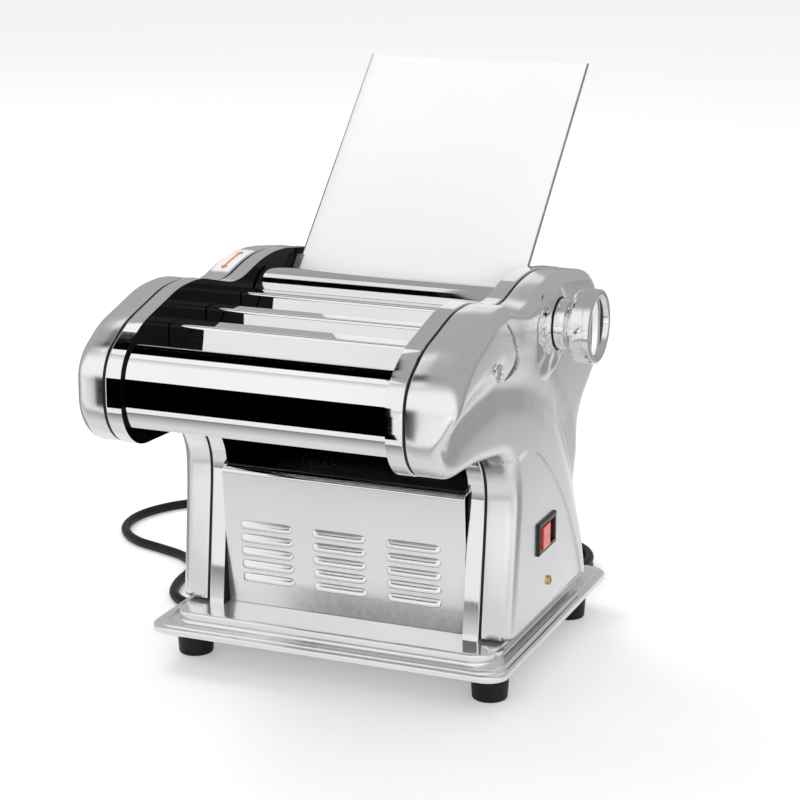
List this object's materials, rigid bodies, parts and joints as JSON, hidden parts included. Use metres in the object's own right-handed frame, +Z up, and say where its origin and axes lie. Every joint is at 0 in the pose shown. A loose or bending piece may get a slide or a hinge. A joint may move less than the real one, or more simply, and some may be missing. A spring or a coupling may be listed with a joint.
{
  "type": "electric pasta maker",
  "caption": "Electric pasta maker with smooth sheet rollers, noodle cutters, side covers, thickness knob, switch, louvred motor base, dough baffle and mains lead.",
  "frame": {"origin": "on the standing surface, in the middle of the four feet", "axes": "+X to the machine's right side with the knob, parallel to the rollers; -Y is the front where the noodles come out; +Z up"},
  "size_m": [0.433, 0.436, 0.377],
  "materials": {
    "mirror_steel": "mirror-polished stainless sheet and plate",
    "frame_polish": "mirror-polished cast plates",
    "satin_shell": "smooth satin plated die-cast covers",
    "chrome": "bright chrome plating",
    "roller_steel": "ground and fine-turned steel",
    "gear_nylon": "greased natural nylon",
    "bush_brass": "sintered brass, oiled",
    "screw_steel": "bright plated screws",
    "black_plastic": "fine-textured black plastic",
    "screen_grey": "fine grey mesh",
    "motor_paint": "dark painted steel",
    "capacitor_white": "plain white plastic",
    "switch_red": "translucent glossy red",
    "label_white": "printed white film with an orange arrow",
    "black_rubber": "soft matte black rubber",
    "pin_brass": "bare brass pins"
  },
  "bodies": {
    "chassis": {"base_tray": "mirror_steel", "rubber_feet": "black_rubber", "foot_screws": "roller_steel", "left_frame": "frame_polish", "right_frame": "frame_polish", "tie_rods": "chrome", "left_shell": "satin_shell", "right_shell": "satin_shell", "shell_screws": "screw_steel", "front_cover": "mirror_steel", "wide_feed_plate": "mirror_steel", "flat_feed_plate": "mirror_steel", "thin_feed_plate": "mirror_steel", "rear_cover": "mirror_steel", "louver_panel": "mirror_steel", "dust_screen": "screen_grey", "noodle_chute": "black_plastic", "dial_ring": "black_plastic", "detent_spring": "roller_steel", "bearing_bushes": "bush_brass", "cutter_combs": "roller_steel", "sheet_scraper": "roller_steel", "idler_axles": "roller_steel", "motor_housing": "motor_paint", "gearbox": "motor_paint", "motor_cradle": "motor_paint", "start_capacitor": "capacitor_white", "terminal_block": "black_plastic", "switch_housing": "black_plastic", "arrow_label": "label_white", "baffle_rails": "black_plastic", "cord_gland": "black_rubber", "power_cord": "black_rubber", "cord_coil": "black_rubber", "plug": "black_rubber", "plug_pins": "pin_brass"},
    "fixed_roller": {"fixed_roller": "roller_steel", "roller_drive_gears": "gear_nylon", "fixed_sync_gear": "gear_nylon"},
    "roller_carriage": {"roller_carriage": "roller_steel"},
    "adjust_roller": {"adjust_roller": "roller_steel", "adjust_sync_gear": "gear_nylon"},
    "knob": {"adjust_cam": "roller_steel", "thickness_knob": "chrome"},
    "wide_front_cutter": {"wide_cutter_front": "roller_steel"},
    "wide_rear_cutter": {"wide_cutter_rear": "roller_steel"},
    "flat_front_cutter": {"flat_cutter_front": "roller_steel"},
    "flat_rear_cutter": {"flat_cutter_rear": "roller_steel"},
    "thin_front_cutter": {"thin_cutter_front": "roller_steel"},
    "thin_rear_cutter": {"thin_cutter_rear": "roller_steel"},
    "front_idler": {"front_idler_gear": "gear_nylon"},
    "middle_idler": {"middle_idler_gear": "gear_nylon"},
    "rear_idler": {"rear_idler_gear": "gear_nylon"},
    "drive_idler": {"drive_idler_gear": "gear_nylon"},
    "motor_output": {"motor_output": "roller_steel"},
    "rocker": {"rocker_button": "switch_red"},
    "baffle": {"dough_baffle": "mirror_steel"}
  },
  "joints": [
    {"name": "fixed_roller_spin", "type": "hinge", "parent": "chassis", "child": "fixed_roller", "pos_m": [0, 0.03304, 0.20695], "axis": [1, 0, 0], "continuous": true},
    {"name": "knob_turn", "type": "hinge", "parent": "chassis", "child": "knob", "pos_m": [0.14, -0.005, 0.231], "axis": [1, 0, 0], "range_deg": [0, 270]},
    {"name": "carriage_slide", "type": "slide", "parent": "chassis", "child": "roller_carriage", "axis": [0, 0.8453, -0.5344], "range_m": [0, 0.0027]},
    {"name": "adjust_roller_spin", "type": "hinge", "parent": "roller_carriage", "child": "adjust_roller", "pos_m": [0, -0.005, 0.231], "axis": [1, 0, 0], "continuous": true},
    {"name": "wide_rear_cutter_spin", "type": "hinge", "parent": "chassis", "child": "wide_rear_cutter", "pos_m": [0, -0.13475, 0.203], "axis": [1, 0, 0], "continuous": true},
    {"name": "wide_front_cutter_spin", "type": "hinge", "parent": "chassis", "child": "wide_front_cutter", "pos_m": [0, -0.15725, 0.203], "axis": [1, 0, 0], "continuous": true},
    {"name": "flat_rear_cutter_spin", "type": "hinge", "parent": "chassis", "child": "flat_rear_cutter", "pos_m": [0, -0.08475, 0.203], "axis": [1, 0, 0], "continuous": true},
    {"name": "flat_front_cutter_spin", "type": "hinge", "parent": "chassis", "child": "flat_front_cutter", "pos_m": [0, -0.10725, 0.203], "axis": [1, 0, 0], "continuous": true},
    {"name": "thin_rear_cutter_spin", "type": "hinge", "parent": "chassis", "child": "thin_rear_cutter", "pos_m": [0, -0.03475, 0.203], "axis": [1, 0, 0], "continuous": true},
    {"name": "thin_front_cutter_spin", "type": "hinge", "parent": "chassis", "child": "thin_front_cutter", "pos_m": [0, -0.05725, 0.203], "axis": [1, 0, 0], "continuous": true},
    {"name": "front_idler_spin", "type": "hinge", "parent": "chassis", "child": "front_idler", "pos_m": [0, -0.10975, 0.21504], "axis": [1, 0, 0], "continuous": true},
    {"name": "middle_idler_spin", "type": "hinge", "parent": "chassis", "child": "middle_idler", "pos_m": [0, -0.05975, 0.21504], "axis": [1, 0, 0], "continuous": true},
    {"name": "rear_idler_spin", "type": "hinge", "parent": "chassis", "child": "rear_idler", "pos_m": [0, -0.00617, 0.19679], "axis": [1, 0, 0], "continuous": true},
    {"name": "drive_idler_spin", "type": "hinge", "parent": "chassis", "child": "drive_idler", "pos_m": [0, 0.02491, 0.16269], "axis": [1, 0, 0], "continuous": true},
    {"name": "motor_output_spin", "type": "hinge", "parent": "chassis", "child": "motor_output", "pos_m": [0, 0.00694, 0.13683], "axis": [1, 0, 0], "continuous": true},
    {"name": "rocker_tilt", "type": "hinge", "parent": "chassis", "child": "rocker", "pos_m": [0.1145, -0.012, 0.091], "axis": [0, 0, 1], "range_deg": [-16, 0]},
    {"name": "baffle_slide", "type": "slide", "parent": "chassis", "child": "baffle", "axis": [0, 0.7071, 0.7071], "range_m": [0, 0.06]}
  ],
  "couplings": [
    {"joint": "knob_turn", "follows": "carriage_slide", "rad_per_m": 1745.3},
    {"joint": "adjust_roller_spin", "follows": "fixed_roller_spin", "ratio": -1},
    {"joint": "wide_rear_cutter_spin", "follows": "fixed_roller_spin", "ratio": 2},
    {"joint": "wide_front_cutter_spin", "follows": "fixed_roller_spin", "ratio": -2},
    {"joint": "flat_rear_cutter_spin", "follows": "fixed_roller_spin", "ratio": 2},
    {"joint": "flat_front_cutter_spin", "follows": "fixed_roller_spin", "ratio": -2},
    {"joint": "thin_rear_cutter_spin", "follows": "fixed_roller_spin", "ratio": 2},
    {"joint": "thin_front_cutter_spin", "follows": "fixed_roller_spin", "ratio": -2},
    {"joint": "front_idler_spin", "follows": "fixed_roller_spin", "ratio": -1.3636},
    {"joint": "middle_idler_spin", "follows": "fixed_roller_spin", "ratio": -1.3636},
    {"joint": "rear_idler_spin", "follows": "fixed_roller_spin", "ratio": -1.25},
    {"joint": "drive_idler_spin", "follows": "fixed_roller_spin", "ratio": -1},
    {"joint": "motor_output_spin", "follows": "fixed_roller_spin", "ratio": 2.5}
  ]
}
